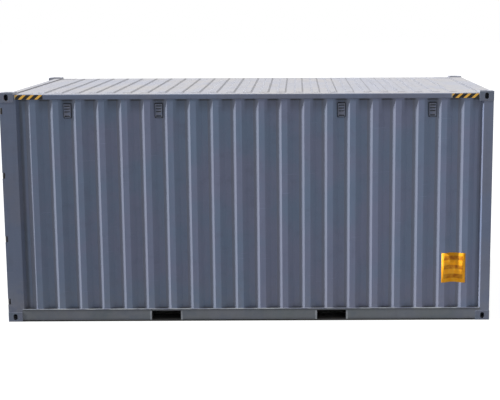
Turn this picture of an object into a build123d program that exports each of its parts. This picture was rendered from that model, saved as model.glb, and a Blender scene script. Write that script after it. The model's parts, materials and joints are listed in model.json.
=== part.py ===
from build123d import *
import os

# A 20 foot high-cube dry freight container. Millimetres, +Z up, origin on the ground under the middle.
# X runs along the container: doors at -X, blind front wall at +X.
# The right side, as seen by someone who faces the doors, is -Y.

# Outer size over the corner castings
LENGTH = 6058.0
WIDTH = 2438.0
HEIGHT = 2896.0

# Corner castings
CASTING_LENGTH = 178.0
CASTING_WIDTH = 162.0
CASTING_HEIGHT = 118.0
CASTING_WALL = 28.5
CASTING_INNER_WALL = 12.0
SLOT_LENGTH = 124.0
SLOT_WIDTH = 63.5
SLOT_FROM_END = 102.5
SLOT_FROM_SIDE = 89.5
SIDE_HOLE_HEIGHT = 79.5
SIDE_HOLE_WIDTH = 51.0
END_HOLE_LENGTH = 89.0
END_HOLE_HEIGHT = 63.5
CASTING_EDGE = 6.0

# How far the steelwork stays inside the faces of the castings
POST_INSET = 3.0
RAIL_INSET = 4.0
WALL_INSET = 5.0
GROUND_CLEARANCE = 17.0
ROOF_INSET = 12.0

# Posts
REAR_POST_SIDE = 229.0
FRONT_POST_SIDE = 149.0
POST_SLOPE = 28.0
POST_PLATE = 6.0
JAMB_WIDTH = 49.0
JAMB_DEPTH = 44.0
POST_CHANNEL_WALL = 10.0

# Side rails
BOTTOM_RAIL_HEIGHT = 145.0
BOTTOM_RAIL_FLANGE = 48.0
BOTTOM_RAIL_WALL = 4.5
TOP_RAIL_SIZE = 60.0
TOP_RAIL_WALL = 3.0
TUBE_CORNER = 8.0

# Corrugated side walls
SIDE_RIB_PITCH = 280.2
SIDE_RIB_FACE = 72.0
SIDE_RIB_SLOPE = 68.0
SIDE_RIB_DEPTH = 36.0
SIDE_SHEET = 2.0

# Corrugated front wall
FRONT_RIB_PITCH = 251.0
FRONT_RIB_FACE = 110.0
FRONT_RIB_SLOPE = 18.0
FRONT_RIB_DEPTH = 45.6
FRONT_SHEET = 2.0
FRONT_RAIL_SIZE = 60.0

# Roof sheet with stamped ribs, corner plates on it and caps over its ends
ROOF_SHEET = 2.0
ROOF_RIB_PITCH = 212.2
ROOF_RIB_TOP = 75.0
ROOF_RIB_SLOPE = 22.0
ROOF_RIB_HEIGHT = 12.0
ROOF_RIB_END_GAP = 230.0
ROOF_RIB_SIDE_GAP = 110.0
ROOF_SETBACK = 10.0
ROOF_END_PLATE = 3.0
CORNER_PLATE_LENGTH = 200.0
CORNER_PLATE_WIDTH = 140.0

# Floor and underframe
CROSS_MEMBER_PITCH = 285.0
CROSS_MEMBER_HEIGHT = 122.0
CROSS_MEMBER_FLANGE = 45.0
CROSS_MEMBER_WALL = 4.0
FLOOR_THICKNESS = 28.0
FLOOR_BOARD_ROWS = 5
FLOOR_JOINT = 2.0
FLOOR_SIDE_GAP = 4.0

# Fork pockets
POCKET_CENTRES = 2080.0
POCKET_WIDTH = 366.0
POCKET_PLATE = 3.0
POCKET_FOOT_LENGTH = 200.0
POCKET_FOOT_PLATE = 6.0

# Door sill and header
SILL_HEIGHT = 141.0
HEADER_HEIGHT = 130.0
SILL_PLATE = 6.0
SILL_SETBACK = 10.0
GUTTER_REACH = 24.0
GUTTER_LIP = 15.0
GUTTER_PLATE = 3.0
GUTTER_CLEARANCE = 16.0

# Door leaves
LEAF_RECESS = 84.0
LEAF_THICKNESS = 50.0
LEAF_EDGE_GAP = 6.0
LEAF_CENTRE_GAP = 16.0
GASKET = 8.0
GASKET_DEPTH = 18.0
GASKET_INSET = 4.0
STILE_WIDTH = 100.0
LEAF_RAIL_HEIGHT = 150.0
LEAF_WALL = 3.2
LEAF_RIB_PITCH = 273.0
LEAF_RIB_FACE = 72.0
LEAF_RIB_SLOPE = 68.0
LEAF_RIB_DEPTH = 36.0
LEAF_SHEET = 2.0
SWING_CLEARANCE = 6.0

# Hinges
HINGES = 4
HINGE_ABOVE_SILL = 102.0
HINGE_BELOW_HEADER = 70.0
PIN_FROM_END = 17.0
PIN_FROM_SIDE = 20.0
PIN_RADIUS = 9.0
PIN_PROUD = 5.0
PIN_CLEARANCE = 0.4
KNUCKLE_RADIUS = 15.0
KNUCKLE_HEIGHT = 75.0
KNUCKLE_GAP = 1.0
LUG_THICKNESS = 16.0
BLADE_THICKNESS = 10.0
BLADE_WEB = 12.0
BLADE_REACH = 130.0
BLADE_CORNER = 18.0
NOTCH_CLEARANCE = 7.0

# Lock rods, their cams, guides and keepers
ROD_RADIUS = 17.0
ROD_STANDOFF = 21.0
ROD_FIT = 0.3
ROD_TAIL = 10.0
CAM_INSET = 54.0
CAM_HEIGHT = 30.0
CAM_WIDTH = 60.0
CAM_FRONT = 19.0
CAM_BACK = 22.0
CAM_PRONG = 10.0
CAM_FORK = 6.0
CAM_CORNER = 9.0
GUIDE_HEIGHT = 60.0
GUIDE_WIDTH = 110.0
GUIDE_STRAP = 3.5
GUIDE_CORNER = 11.0
KEEPER_PLATE = 5.0
KEEPER_EAR = 8.0
KEEPER_EAR_DEPTH = 40.0
KEEPER_EAR_CORNER = 14.0
KEEPER_HEIGHT = 50.0
KEEPER_SIDE_GAP = 9.0

# Handles and their catches
HANDLE_LENGTH = 450.0
HANDLE_END_GAP = 130.0
HANDLE_WIDTH = 38.0
HANDLE_THICKNESS = 10.0
GRIP_LENGTH = 150.0
GRIP_WIDTH = 26.0
GRIP_SHOULDER = 20.0
GRIP_CORNER = 7.0
HUB_WALL = 3.2
HUB_HEIGHT = 56.0
HUB_CORNER = 9.0
CATCH_WIDTH = 46.0
CATCH_PLATE = 5.0
CATCH_RIM = 12.7

# Ventilators, in two recesses of the side wall, counted from each of its ends
OUTER_VENT_RECESS = 2
INNER_VENT_RECESS = 6
VENT_HEIGHT = 174.0
VENT_DEPTH = 26.0
VENT_BACK = 7.0
VENT_GAP = 2.3
VENT_BELOW_RAIL = 56.0
VENT_BEVEL = 7.0
VENT_CORNER = 14.0
VENT_MOUTH_HEIGHT = 16.0
VENT_MOUTH_DEPTH = 12.0
VENT_SIDE = 12.0
LOUVRES = 3
LOUVRE_PITCH = 35.0
LOUVRE_HEIGHT = 14.0
LOUVRE_DEPTH = 7.0

# Levels and planes that follow from the sizes above
DOOR_END = -LENGTH / 2
FRONT_END = LENGTH / 2
RIGHT_FACE = -WIDTH / 2
CASTING_INNER_Y = RIGHT_FACE + CASTING_WIDTH
DOOR_CASTING_X = DOOR_END + CASTING_LENGTH
FRONT_CASTING_X = FRONT_END - CASTING_LENGTH
TOP_CASTING_Z = HEIGHT - CASTING_HEIGHT
RAIL_TOP = GROUND_CLEARANCE + BOTTOM_RAIL_HEIGHT
ROOF_TOP = HEIGHT - ROOF_INSET
ROOF_BASE = ROOF_TOP - ROOF_RIB_HEIGHT - ROOF_SHEET
TOP_RAIL_BASE = ROOF_BASE - TOP_RAIL_SIZE
POST_FACE_Y = RIGHT_FACE + POST_INSET
POST_BACK_Y = POST_FACE_Y + POST_PLATE
RAIL_FACE_Y = RIGHT_FACE + RAIL_INSET
RAIL_BACK_Y = RAIL_FACE_Y + BOTTOM_RAIL_WALL
WALL_FACE_Y = RAIL_FACE_Y + WALL_INSET
WALL_RECESS_Y = WALL_FACE_Y + SIDE_RIB_DEPTH
WALL_BACK_Y = WALL_RECESS_Y + SIDE_SHEET
REAR_POST_END = DOOR_END + POST_INSET
REAR_POST_INNER = REAR_POST_END + REAR_POST_SIDE
FRONT_POST_END = FRONT_END - POST_INSET
FRONT_POST_INNER = FRONT_POST_END - FRONT_POST_SIDE
FRONT_FACE_X = FRONT_POST_END - WALL_INSET
FRONT_RECESS_X = FRONT_FACE_X - FRONT_RIB_DEPTH
FRONT_RAIL_BACK_X = FRONT_POST_END - FRONT_RAIL_SIZE
FLOOR_BASE = GROUND_CLEARANCE + CROSS_MEMBER_HEIGHT
FLOOR_TOP = FLOOR_BASE + FLOOR_THICKNESS
SILL_TOP = GROUND_CLEARANCE + SILL_HEIGHT
HEADER_BOTTOM = ROOF_BASE - HEADER_HEIGHT
OPENING_EDGE_Y = RIGHT_FACE + JAMB_WIDTH
LEAF_FACE = DOOR_END + LEAF_RECESS
LEAF_BACK = LEAF_FACE + LEAF_THICKNESS
POST_LEG_X = LEAF_FACE + SWING_CLEARANCE
JAMB_END_X = POST_LEG_X + JAMB_DEPTH
SILL_FACE = LEAF_FACE + SILL_SETBACK
PIN_X = DOOR_END + PIN_FROM_END
PIN_Y = RIGHT_FACE + PIN_FROM_SIDE
NOTCH_X = PIN_X + KNUCKLE_RADIUS + NOTCH_CLEARANCE
LEAF_HINGE_Y = OPENING_EDGE_Y + LEAF_EDGE_GAP + GASKET
LEAF_CENTRE_Y = -LEAF_CENTRE_GAP
LEAF_BOTTOM = SILL_TOP + LEAF_EDGE_GAP + GASKET
LEAF_TOP = HEADER_BOTTOM - LEAF_EDGE_GAP - GASKET
PANEL_LOW = LEAF_BOTTOM + LEAF_RAIL_HEIGHT
PANEL_HIGH = LEAF_TOP - LEAF_RAIL_HEIGHT
ROD_X = LEAF_FACE - ROD_STANDOFF
ROD_SPACING = HANDLE_LENGTH + HANDLE_END_GAP
ROD_OUTER_Y = (LEAF_HINGE_Y + LEAF_CENTRE_Y - ROD_SPACING) / 2
ROD_INNER_Y = ROD_OUTER_Y + ROD_SPACING
ROD_BORE = ROD_RADIUS + ROD_FIT
CAM_LOW = SILL_TOP - CAM_INSET
CAM_HIGH = HEADER_BOTTOM + CAM_INSET
ROD_LOW = CAM_LOW - CAM_HEIGHT / 2 - ROD_TAIL
ROD_HIGH = CAM_HIGH + CAM_HEIGHT / 2 + ROD_TAIL


def block(x, y, z):
    """A box from three (low, high) pairs."""
    size = [pair[1] - pair[0] for pair in (x, y, z)]
    middle = [(pair[0] + pair[1]) / 2 for pair in (x, y, z)]
    return Pos(*middle) * Box(*size)


def upright(points, low, high):
    """An outline in the XY plane, raised from low to high."""
    face = make_face(Polyline(*points, close=True))
    return Pos(0, 0, low) * extrude(face, amount=high - low)


def lengthwise(points, start, end):
    """An outline of (y, z) points, run along X."""
    face = make_face(Polyline(*points, close=True))
    return extrude(Plane((start, 0, 0), x_dir=(0, 1, 0), z_dir=(1, 0, 0)) * face, amount=end - start)


def crosswise(points, start, end):
    """An outline of (x, z) points, run along Y."""
    face = make_face(Polyline(*points, close=True))
    return extrude(Plane((0, start, 0), x_dir=(1, 0, 0), z_dir=(0, -1, 0)) * face, amount=start - end)


def bent(points, plate):
    """Section of a bent plate: points follow one face, and the other face lies to their left."""
    steps = [(Vector(*after) - Vector(*before)).normalized() for before, after in zip(points, points[1:])]
    left = [Vector(-step.Y, step.X) for step in steps]
    corners = zip(points, left[:1] + left, left + left[-1:])
    back = [Vector(*point) + (one + other) * (plate / (1 + one.dot(other))) for point, one, other in corners]
    return list(points) + [(corner.X, corner.Y) for corner in reversed(back)]


def to_left(shape):
    """The same piece on the other side of the container."""
    return mirror(shape, about=Plane.XZ)


def to_front(shape):
    """The same piece at the other end of the container."""
    return mirror(shape, about=Plane.YZ)


def spaced(start, end, pitch):
    """Even places between two ends, without the ends, about one pitch apart."""
    gaps = round((end - start) / pitch)
    return [start + (end - start) * number / gaps for number in range(1, gaps)]


def rib_starts(start, end, pitch, rib):
    """Where the ribs begin that fit between start and end, one pitch apart and centred."""
    ribs = int((end - start - rib) // pitch) + 1
    first = (start + end - rib - (ribs - 1) * pitch) / 2
    return [first + number * pitch for number in range(ribs)]


def corrugation(start, end, pitch, face, slope, depth):
    """The outer line of a ribbed sheet as (along, out) points, flat at both ends."""
    line = [(start, 0)]
    for foot in rib_starts(start, end, pitch, face + 2 * slope):
        crest = foot + slope
        line += [(foot, 0), (crest, depth), (crest + face, depth), (crest + face + slope, 0)]
    return line + [(end, 0)]


def casting():
    """A lower corner casting of the doors' right corner, open below, at the side and at the end."""
    body = block((0, CASTING_LENGTH), (0, CASTING_WIDTH), (0, CASTING_HEIGHT))
    body = chamfer(body.edges().filter_by(Axis.Z).group_by(Axis.X)[0], CASTING_EDGE)
    hollow_x = (CASTING_WALL, CASTING_LENGTH - CASTING_INNER_WALL)
    hollow_y = (CASTING_WALL, CASTING_WIDTH - CASTING_INNER_WALL)
    body -= block(hollow_x, hollow_y, (CASTING_WALL, CASTING_HEIGHT - CASTING_INNER_WALL))
    slot = Pos(SLOT_FROM_END, SLOT_FROM_SIDE, 0) * SlotOverall(SLOT_LENGTH, SLOT_WIDTH)
    body -= extrude(slot, amount=CASTING_WALL)
    side = Plane((CASTING_LENGTH / 2, 0, CASTING_HEIGHT / 2), x_dir=(0, 0, 1), z_dir=(0, 1, 0))
    body -= extrude(side * SlotOverall(SIDE_HOLE_HEIGHT, SIDE_HOLE_WIDTH), amount=CASTING_WALL)
    end = Plane((0, CASTING_WIDTH / 2, CASTING_HEIGHT / 2), x_dir=(0, 1, 0), z_dir=(1, 0, 0))
    body -= extrude(end * SlotOverall(END_HOLE_LENGTH, END_HOLE_HEIGHT), amount=CASTING_WALL)
    return Pos(DOOR_END, RIGHT_FACE, 0) * body


def bottom_castings():
    at_doors = [casting(), to_left(casting())]
    return Compound(at_doors + [to_front(piece) for piece in at_doors])


def top_castings():
    """The lower castings turned over, so that their slots open upwards."""
    return mirror(bottom_castings(), about=Plane.XY.offset(HEIGHT / 2))


def casting_rooms():
    """The spaces that the eight castings take."""
    rooms = []
    for x in ((DOOR_END, DOOR_CASTING_X), (FRONT_CASTING_X, FRONT_END)):
        for y in ((RIGHT_FACE, CASTING_INNER_Y), (-CASTING_INNER_Y, -RIGHT_FACE)):
            for z in ((0, CASTING_HEIGHT), (TOP_CASTING_Z, HEIGHT)):
                rooms.append(block(x, y, z))
    return rooms


def pockets():
    """The two fork pockets' places along the container, as (low, high) pairs."""
    centres = (-POCKET_CENTRES / 2, POCKET_CENTRES / 2)
    return [(centre - POCKET_WIDTH / 2, centre + POCKET_WIDTH / 2) for centre in centres]


def bottom_side_rail():
    """A C rail, open inwards, cut away at the fork pockets, its top running on to the front post."""
    back = RAIL_FACE_Y + BOTTOM_RAIL_FLANGE
    line = [(back, RAIL_TOP), (RAIL_FACE_Y, RAIL_TOP), (RAIL_FACE_Y, GROUND_CLEARANCE),
            (back, GROUND_CLEARANCE)]
    rail = lengthwise(bent(line, BOTTOM_RAIL_WALL), DOOR_CASTING_X, FRONT_END)
    rail -= block((FRONT_CASTING_X, FRONT_END), (RAIL_FACE_Y, back), (GROUND_CLEARANCE, CASTING_HEIGHT))
    post = [(FRONT_POST_INNER, back), (FRONT_POST_INNER, WALL_BACK_Y),
            (FRONT_POST_INNER + POST_SLOPE, POST_FACE_Y), (FRONT_END, POST_FACE_Y), (FRONT_END, back)]
    rail -= upright(post, CASTING_HEIGHT, RAIL_TOP)
    for pocket in pockets():
        rail -= block(pocket, (RAIL_FACE_Y, back), (GROUND_CLEARANCE, FLOOR_BASE - POCKET_PLATE))
    return rail


def square_tube(size, wall, length):
    """A square tube along X, its outer corner at the origin, with rounded edges."""
    face = RectangleRounded(size, size, TUBE_CORNER) - Rectangle(size - 2 * wall, size - 2 * wall)
    return extrude(Plane((0, size / 2, size / 2), x_dir=(0, 1, 0), z_dir=(1, 0, 0)) * face, amount=length)


def top_side_rail():
    tube = square_tube(TOP_RAIL_SIZE, TOP_RAIL_WALL, FRONT_CASTING_X - DOOR_CASTING_X)
    return Pos(DOOR_CASTING_X, RAIL_FACE_Y, TOP_RAIL_BASE) * tube


def front_top_rail():
    tube = Rot(0, 0, 90) * square_tube(FRONT_RAIL_SIZE, TOP_RAIL_WALL, -2 * CASTING_INNER_Y)
    return Pos(FRONT_POST_END, CASTING_INNER_Y, ROOF_BASE - FRONT_RAIL_SIZE) * tube


def side_wall():
    """One sheet, ribbed outwards, between the posts and between the rails."""
    profile = corrugation(REAR_POST_INNER, FRONT_POST_INNER, SIDE_RIB_PITCH, SIDE_RIB_FACE,
                          SIDE_RIB_SLOPE, SIDE_RIB_DEPTH)
    line = [(along, WALL_RECESS_Y - out) for along, out in profile]
    sheet = upright(bent(line, SIDE_SHEET), RAIL_TOP, TOP_RAIL_BASE)
    return sheet - block((FRONT_CASTING_X, FRONT_END), (RIGHT_FACE, WALL_BACK_Y), (TOP_CASTING_Z, HEIGHT))


def front_wall():
    """One deeper ribbed sheet between the front posts."""
    profile = corrugation(CASTING_INNER_Y, -CASTING_INNER_Y, FRONT_RIB_PITCH, FRONT_RIB_FACE,
                          FRONT_RIB_SLOPE, FRONT_RIB_DEPTH)
    line = [(FRONT_RECESS_X + out, along) for along, out in profile]
    return upright(bent(line, FRONT_SHEET), RAIL_TOP, ROOF_BASE - FRONT_RAIL_SIZE)


def front_bottom_rail():
    """A C rail under the front wall, open inwards."""
    line = [(FRONT_RAIL_BACK_X, GROUND_CLEARANCE), (FRONT_POST_END, GROUND_CLEARANCE),
            (FRONT_POST_END, RAIL_TOP), (FRONT_RAIL_BACK_X, RAIL_TOP)]
    return crosswise(bent(line, BOTTOM_RAIL_WALL), CASTING_INNER_Y, -CASTING_INNER_Y)


def front_post():
    """A pressed corner post, its side bent in to the side wall and its end to the front wall."""
    line = [(FRONT_POST_INNER, WALL_BACK_Y), (FRONT_POST_INNER + POST_SLOPE, POST_FACE_Y),
            (FRONT_POST_END, POST_FACE_Y), (FRONT_POST_END, CASTING_INNER_Y),
            (FRONT_RECESS_X - FRONT_SHEET, CASTING_INNER_Y)]
    return upright(bent(line, POST_PLATE), CASTING_HEIGHT, TOP_CASTING_Z)


def hinge_levels():
    low = SILL_TOP + HINGE_ABOVE_SILL
    high = HEADER_BOTTOM - HINGE_BELOW_HEADER
    return [low + (high - low) * number / (HINGES - 1) for number in range(HINGES)]


def rear_post():
    """The pressed post beside the doors, with a jamb for the leaf and a notch at each hinge."""
    under_casting = (CASTING_HEIGHT, TOP_CASTING_Z)
    post = block((REAR_POST_END, DOOR_CASTING_X), (POST_FACE_Y, POST_BACK_Y), under_casting)
    side = [(DOOR_CASTING_X, POST_FACE_Y), (REAR_POST_INNER - POST_SLOPE, POST_FACE_Y),
            (REAR_POST_INNER, WALL_BACK_Y)]
    post += upright(bent(side, POST_PLATE), RAIL_TOP, TOP_RAIL_BASE)
    jamb = [(JAMB_END_X, OPENING_EDGE_Y), (POST_LEG_X, OPENING_EDGE_Y), (POST_LEG_X, POST_BACK_Y)]
    post += upright(bent(jamb, POST_PLATE), *under_casting)
    for level in hinge_levels():
        half = KNUCKLE_HEIGHT / 2 + KNUCKLE_GAP + LUG_THICKNESS
        post -= block((REAR_POST_END, NOTCH_X), (POST_FACE_Y, POST_BACK_Y), (level - half, level + half))
    return post


def rear_post_channel():
    """The heavy channel inside the rear post, closing it towards the cargo space."""
    start = JAMB_END_X
    end = REAR_POST_INNER - POST_SLOPE - POST_PLATE
    line = [(end, POST_BACK_Y), (end, OPENING_EDGE_Y), (start, OPENING_EDGE_Y), (start, POST_BACK_Y)]
    channel = upright(bent(line, POST_CHANNEL_WALL), RAIL_TOP, TOP_RAIL_BASE)
    for room in casting_rooms():
        channel -= room
    return channel


def door_sill():
    """A pressed sill between the posts, open at the back, over the lower castings at its ends."""
    line = [(DOOR_CASTING_X, SILL_TOP), (SILL_FACE, SILL_TOP), (SILL_FACE, GROUND_CLEARANCE),
            (DOOR_CASTING_X, GROUND_CLEARANCE)]
    sill = crosswise(bent(line, SILL_PLATE), OPENING_EDGE_Y, -OPENING_EDGE_Y)
    for room in casting_rooms():
        sill -= room
    return sill


def door_header():
    """A box section over the doors, between and under the upper castings, with a rain gutter."""
    along = (SILL_FACE, DOOR_CASTING_X)
    across = (OPENING_EDGE_Y, -OPENING_EDGE_Y)
    header = block(along, across, (HEADER_BOTTOM, ROOF_BASE))
    inside = (HEADER_BOTTOM + SILL_PLATE, ROOF_BASE - SILL_PLATE)
    header -= block((along[0] + SILL_PLATE, along[1] - SILL_PLATE), across, inside)
    for room in casting_rooms():
        header -= room
    low = ROD_HIGH + GUTTER_CLEARANCE
    front = SILL_FACE - GUTTER_REACH
    gutter = bent([(SILL_FACE, low), (front, low), (front, low + GUTTER_LIP)], GUTTER_PLATE)
    return header + crosswise(gutter, CASTING_INNER_Y, -CASTING_INNER_Y)


def cross_member(x, facing):
    """A C member across the underframe, its flanges pointing along X from its web at x."""
    base = GROUND_CLEARANCE + BOTTOM_RAIL_WALL
    edge = x + facing * CROSS_MEMBER_FLANGE
    line = [(edge, FLOOR_BASE), (x, FLOOR_BASE), (x, base), (edge, base)][::facing]
    return crosswise(bent(line, CROSS_MEMBER_WALL), RAIL_BACK_Y, -RAIL_BACK_Y)


def cross_members():
    """Members between the sill, the fork pockets and the front rail, and one along each pocket side."""
    rear, front = pockets()
    members = [cross_member(rear[0], -1), cross_member(rear[1], 1)]
    members += [cross_member(front[0], -1), cross_member(front[1], 1)]
    members += [cross_member(x, -1) for x in spaced(DOOR_CASTING_X, rear[0], CROSS_MEMBER_PITCH)]
    members += [cross_member(x, 1) for x in spaced(rear[1], front[0], CROSS_MEMBER_PITCH)]
    members += [cross_member(x, 1) for x in spaced(front[1], FRONT_RAIL_BACK_X, CROSS_MEMBER_PITCH)]
    return Compound(members)


def fork_pocket_plates():
    """A roof plate over each fork pocket and a foot plate at both of its mouths."""
    plates = []
    for pocket in pockets():
        roof = block(pocket, (RAIL_BACK_Y, -RAIL_BACK_Y), (FLOOR_BASE - POCKET_PLATE, FLOOR_BASE))
        foot = block(pocket, (RAIL_FACE_Y, RAIL_FACE_Y + POCKET_FOOT_LENGTH),
                     (GROUND_CLEARANCE, GROUND_CLEARANCE + POCKET_FOOT_PLATE))
        plates += [roof, foot, to_left(foot)]
    return Compound(plates)


def floor_boards():
    """Plywood sheets, two across, in rows along the container."""
    edge = RAIL_FACE_Y + BOTTOM_RAIL_FLANGE + FLOOR_SIDE_GAP
    row = (FRONT_RAIL_BACK_X - DOOR_CASTING_X) / FLOOR_BOARD_ROWS
    boards = []
    for number in range(FLOOR_BOARD_ROWS):
        start = DOOR_CASTING_X + number * row
        along = (start + FLOOR_JOINT / 2, start + row - FLOOR_JOINT / 2)
        board = block(along, (edge, -FLOOR_JOINT / 2), (FLOOR_BASE, FLOOR_TOP))
        boards += [board, to_left(board)]
    return Compound(boards)


def stamped_rib(length, grow):
    """A raised rib with sloping sides and ends, its foot in the XY plane."""
    foot_width = ROOF_RIB_TOP + 2 * ROOF_RIB_SLOPE
    foot = Rectangle(foot_width + 2 * grow, length + 2 * grow)
    crest = Rectangle(ROOF_RIB_TOP + 2 * grow, length - 2 * ROOF_RIB_SLOPE + 2 * grow)
    return loft([foot, Pos(0, 0, ROOF_RIB_HEIGHT + grow) * crest])


def roof_panel():
    """The roof sheet on the top rails, with hollow ribs stamped up across it."""
    edge = RAIL_FACE_Y + ROOF_SETBACK
    face = ROOF_BASE + ROOF_SHEET
    sheet = block((DOOR_CASTING_X, FRONT_CASTING_X), (edge, -edge), (ROOF_BASE, face))
    rib_length = -2 * (edge + ROOF_RIB_SIDE_GAP)
    skin = Pos(0, 0, face) * stamped_rib(rib_length, 0)
    core = Pos(0, 0, ROOF_BASE) * stamped_rib(rib_length, -ROOF_SHEET / 2)
    first = DOOR_CASTING_X + ROOF_RIB_END_GAP
    rib = ROOF_RIB_TOP + 2 * ROOF_RIB_SLOPE
    for start in rib_starts(first, FRONT_CASTING_X - ROOF_RIB_END_GAP, ROOF_RIB_PITCH, rib):
        place = Pos(start + rib / 2, 0, 0)
        sheet = sheet + place * skin - place * core
    return sheet


def roof_end_plates():
    """Raised caps between the upper castings at both ends, and a flat plate beside each casting."""
    rear = bent([(DOOR_CASTING_X, ROOF_BASE), (DOOR_CASTING_X, ROOF_TOP), (SILL_FACE, ROOF_TOP),
                 (SILL_FACE, ROOF_BASE)], ROOF_END_PLATE)
    front = bent([(FRONT_POST_END, ROOF_BASE), (FRONT_POST_END, ROOF_TOP), (FRONT_CASTING_X, ROOF_TOP),
                  (FRONT_CASTING_X, ROOF_BASE)], ROOF_END_PLATE)
    plates = [crosswise(outline, CASTING_INNER_Y, -CASTING_INNER_Y) for outline in (rear, front)]
    edge = RAIL_FACE_Y + ROOF_SETBACK
    face = ROOF_BASE + ROOF_SHEET
    along = (DOOR_CASTING_X, DOOR_CASTING_X + CORNER_PLATE_LENGTH)
    corner = block(along, (edge, edge + CORNER_PLATE_WIDTH), (face, face + ROOF_END_PLATE))
    corners = [corner, to_left(corner)]
    return Compound(plates + corners + [to_front(piece) for piece in corners])


def vent_layer(x, half, levels, depth):
    """A plate of a ventilator at x, its lower corners cut off."""
    low, high = levels
    side = [(half, high), (half, low + VENT_CORNER), (half - VENT_CORNER, low)]
    outline = side + [(-across, level) for across, level in reversed(side)]
    return crosswise([(x + across, level) for across, level in outline], *depth)


def vent(x):
    """A ventilator hood at x in a recess: louvres above, an open mouth below."""
    half_recess = (SIDE_RIB_PITCH - SIDE_RIB_FACE) / 2 - SIDE_RIB_SLOPE
    half = half_recess + VENT_BACK * SIDE_RIB_SLOPE / SIDE_RIB_DEPTH - VENT_GAP
    front = WALL_RECESS_Y - VENT_DEPTH
    back = WALL_RECESS_Y - VENT_BACK
    top = TOP_RAIL_BASE - VENT_BELOW_RAIL
    levels = (top - VENT_HEIGHT, top)
    hood = vent_layer(x, half, levels, (front, back))
    hood = chamfer(hood.faces().sort_by(Axis.Y)[0].edges(), VENT_BEVEL)
    hood += vent_layer(x, half_recess - VENT_GAP, levels, (back, WALL_RECESS_Y))
    across = (x - half + VENT_SIDE, x + half - VENT_SIDE)
    mouth = levels[0] + VENT_CORNER
    hood -= block(across, (front, front + VENT_MOUTH_DEPTH), (mouth, mouth + VENT_MOUTH_HEIGHT))
    for number in range(LOUVRES):
        louvre = top - (number + 1) * LOUVRE_PITCH
        hood -= block(across, (front, front + LOUVRE_DEPTH), (louvre, louvre + LOUVRE_HEIGHT))
    return hood


def side_vents():
    """Ventilators high up in recesses near both ends of the side wall."""
    rib = SIDE_RIB_FACE + 2 * SIDE_RIB_SLOPE
    half_recess = (SIDE_RIB_PITCH - rib) / 2
    starts = rib_starts(REAR_POST_INNER, FRONT_POST_INNER, SIDE_RIB_PITCH, rib)
    recesses = [start - half_recess for start in starts[1:]]
    from_doors = (recesses[OUTER_VENT_RECESS - 1], recesses[INNER_VENT_RECESS - 1])
    from_front = (recesses[-OUTER_VENT_RECESS], recesses[-INNER_VENT_RECESS])
    return Compound([vent(x) for x in from_doors + from_front])


def hinge_lugs():
    """Two drilled lugs at each hinge, let into the notches of the post."""
    outline = [(REAR_POST_END, POST_FACE_Y), (NOTCH_X, POST_FACE_Y), (NOTCH_X, POST_BACK_Y),
               (POST_LEG_X, POST_BACK_Y), (POST_LEG_X, PIN_Y + KNUCKLE_RADIUS),
               (PIN_X, PIN_Y + KNUCKLE_RADIUS), (REAR_POST_END, PIN_Y)]
    lug = upright(outline, 0, LUG_THICKNESS)
    lug -= Pos(PIN_X, PIN_Y, LUG_THICKNESS / 2) * Cylinder(PIN_RADIUS + PIN_CLEARANCE, LUG_THICKNESS)
    lugs = []
    for level in hinge_levels():
        inner = KNUCKLE_HEIGHT / 2 + KNUCKLE_GAP
        lugs += [Pos(0, 0, level + inner) * lug, Pos(0, 0, level - inner - LUG_THICKNESS) * lug]
    return Compound(lugs)


def hinge_pins():
    """A pin through each pair of lugs, standing proud of both."""
    length = KNUCKLE_HEIGHT + 2 * (KNUCKLE_GAP + LUG_THICKNESS + PIN_PROUD)
    return Compound([Pos(PIN_X, PIN_Y, level) * Cylinder(PIN_RADIUS, length) for level in hinge_levels()])


def hinge_blade():
    """A cranked blade from the pin, over the post's step, on to the face of the leaf."""
    levels = (-KNUCKLE_HEIGHT / 2, KNUCKLE_HEIGHT / 2)
    across = (PIN_Y - BLADE_WEB / 2, PIN_Y + BLADE_REACH)
    strap = block((LEAF_FACE - BLADE_THICKNESS, LEAF_FACE), across, levels)
    strap = chamfer(strap.edges().filter_by(Axis.X).group_by(Axis.Y)[-1], BLADE_CORNER)
    web = block((PIN_X, LEAF_FACE), (PIN_Y - BLADE_WEB / 2, PIN_Y + BLADE_WEB / 2), levels)
    knuckle = Pos(PIN_X, PIN_Y, 0) * Cylinder(KNUCKLE_RADIUS, KNUCKLE_HEIGHT)
    bore = Pos(PIN_X, PIN_Y, 0) * Cylinder(PIN_RADIUS + PIN_CLEARANCE, KNUCKLE_HEIGHT)
    return strap + web + knuckle - bore


def hinge_blades():
    return Compound([Pos(0, 0, level) * hinge_blade() for level in hinge_levels()])


def leaf_frame():
    """Two tube stiles and two channel rails, as one welded frame."""
    edges = (LEAF_HINGE_Y, LEAF_CENTRE_Y)
    frame = block((LEAF_FACE, LEAF_BACK), edges, (LEAF_BOTTOM, LEAF_TOP))
    window = (edges[0] + STILE_WIDTH, edges[1] - STILE_WIDTH)
    frame -= block((LEAF_FACE, LEAF_BACK), window, (PANEL_LOW, PANEL_HIGH))
    for side in ((edges[0], window[0]), (window[1], edges[1])):
        inside = (side[0] + LEAF_WALL, side[1] - LEAF_WALL)
        frame -= block((LEAF_FACE + LEAF_WALL, LEAF_BACK - LEAF_WALL), inside, (LEAF_BOTTOM, LEAF_TOP))
    for low, high in ((LEAF_BOTTOM, PANEL_LOW), (PANEL_HIGH, LEAF_TOP)):
        frame -= block((LEAF_FACE + LEAF_WALL, LEAF_BACK), window, (low + LEAF_WALL, high - LEAF_WALL))
    return frame


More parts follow.
